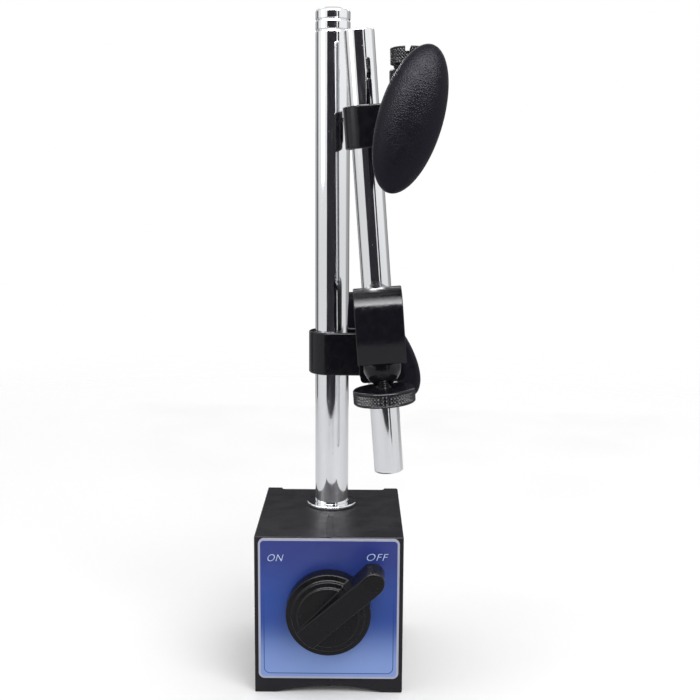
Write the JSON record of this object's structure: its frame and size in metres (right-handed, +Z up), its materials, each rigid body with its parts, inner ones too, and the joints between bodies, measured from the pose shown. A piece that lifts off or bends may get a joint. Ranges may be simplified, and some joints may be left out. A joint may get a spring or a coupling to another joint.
{
  "type": "magnetic base indicator stand",
  "caption": "Switchable magnetic base with a chromed post, a swivel clamp with fine adjustment, a chromed sub-post and a holder for a dial indicator stem, folded.",
  "frame": {"origin": "centre of the base's left foot, on the surface that it stands on; the base's middle plane is at X = 0.0216", "axes": "+X to the right seen from the switch side, +Y away from the switch, +Z up along the main post"},
  "size_m": [0.0613, 0.0779, 0.231],
  "materials": {
    "painted_iron": "satin black paint on soft iron",
    "brass": "plain",
    "printed_plate": "gloss printed aluminium, dark blue above to pale blue below, silver border",
    "aluminium": "satin",
    "chrome": "polished chrome plate",
    "bare_iron": "machined",
    "magnet": "cast alnico magnet",
    "black_steel": "gloss black oxide",
    "black_plastic": "fine leather-grain texture"
  },
  "bodies": {
    "base": {"pole_left": "painted_iron", "pole_right": "painted_iron", "separator_top_front": "brass", "separator_top_rear": "brass", "separator_bottom": "brass", "label_plate": "printed_plate", "front_bearing_cap": "aluminium", "rear_bearing_cap": "aluminium", "back_cover": "aluminium", "cover_screw_1": "chrome", "cover_screw_2": "chrome", "post_collar": "chrome"},
    "rotor": {"rotor_front_hub": "bare_iron", "rotor_rear_hub": "bare_iron", "rotor_magnet": "magnet", "rotor_shoe_upper": "bare_iron", "rotor_shoe_lower": "bare_iron", "switch_knob": "black_plastic", "stop_pin": "bare_iron"},
    "main_post": {"main_post": "chrome", "post_stud": "bare_iron"},
    "cross_clamp": {"cross_strap": "black_steel", "swivel_spacer": "black_steel", "cross_washer": "chrome"},
    "cross_knob": {"cross_knob": "black_plastic", "cross_knob_nut": "brass"},
    "swivel": {"eye_bolt": "black_steel"},
    "fine_arm": {"fine_spring": "black_steel"},
    "thumb_screw": {"thumb_screw": "black_steel"},
    "sub_post": {"sub_post": "chrome"},
    "holder": {"holder_strap": "black_steel", "holder_bolt": "black_steel", "holder_washer": "chrome"},
    "stem_holder": {"stem_holder": "black_steel"},
    "stem_screw": {"stem_screw": "black_steel"},
    "holder_knob": {"holder_knob": "black_plastic", "holder_knob_nut": "brass"}
  },
  "joints": [
    {"name": "switch_turn", "type": "hinge", "parent": "base", "child": "rotor", "pos_m": [0.0216, -0.03, 0.0303], "axis": [0, -1, 0], "range_deg": [0, 90]},
    {"name": "post_turn", "type": "hinge", "parent": "base", "child": "main_post", "pos_m": [0.0216, 0.009, 0.055], "axis": [0, 0, 1], "continuous": true},
    {"name": "clamp_slide", "type": "slide", "parent": "main_post", "child": "cross_clamp", "axis": [0, 0, 1], "range_m": [-0.01, 0.095]},
    {"name": "cross_knob_turn", "type": "hinge", "parent": "cross_clamp", "child": "cross_knob", "pos_m": [0.0389, 0.026, 0.1118], "axis": [0, 1, 0], "continuous": true},
    {"name": "arm_swivel", "type": "hinge", "parent": "cross_clamp", "child": "swivel", "pos_m": [0.0389, -0.012, 0.1118], "axis": [0, 1, 0], "range_deg": [-90, 110]},
    {"name": "fine_tilt", "type": "hinge", "parent": "swivel", "child": "fine_arm", "pos_m": [0.0389, -0.012, 0.1118], "axis": [0.9971, 0, 0.0767], "range_deg": [-1, 1]},
    {"name": "thumb_turn", "type": "hinge", "parent": "swivel", "child": "thumb_screw", "pos_m": [0.0389, -0.0278, 0.1118], "axis": [-0.0767, 0, 0.9971], "range_deg": [-150, 150]},
    {"name": "sub_post_slide", "type": "slide", "parent": "fine_arm", "child": "sub_post", "axis": [-0.0767, 0, 0.9971], "range_m": [-0.006, 0.028]},
    {"name": "holder_swing", "type": "hinge", "parent": "sub_post", "child": "holder", "pos_m": [0.03291, -0.012, 0.18967], "axis": [-0.0767, 0, 0.9971], "range_deg": [-110, 40]},
    {"name": "holder_knob_turn", "type": "hinge", "parent": "holder", "child": "holder_knob", "pos_m": [0.04637, -0.032, 0.19071], "axis": [0, 1, 0], "continuous": true},
    {"name": "stem_holder_turn", "type": "hinge", "parent": "holder", "child": "stem_holder", "pos_m": [0.04637, -0.02518, 0.19071], "axis": [0, 1, 0], "continuous": true},
    {"name": "stem_screw_turn", "type": "hinge", "parent": "stem_holder", "child": "stem_screw", "pos_m": [0.04598, -0.02518, 0.2067], "axis": [-0.0244, 0, 0.9997], "continuous": true}
  ],
  "couplings": [
    {"joint": "thumb_turn", "follows": "fine_tilt", "ratio": -142}
  ]
}
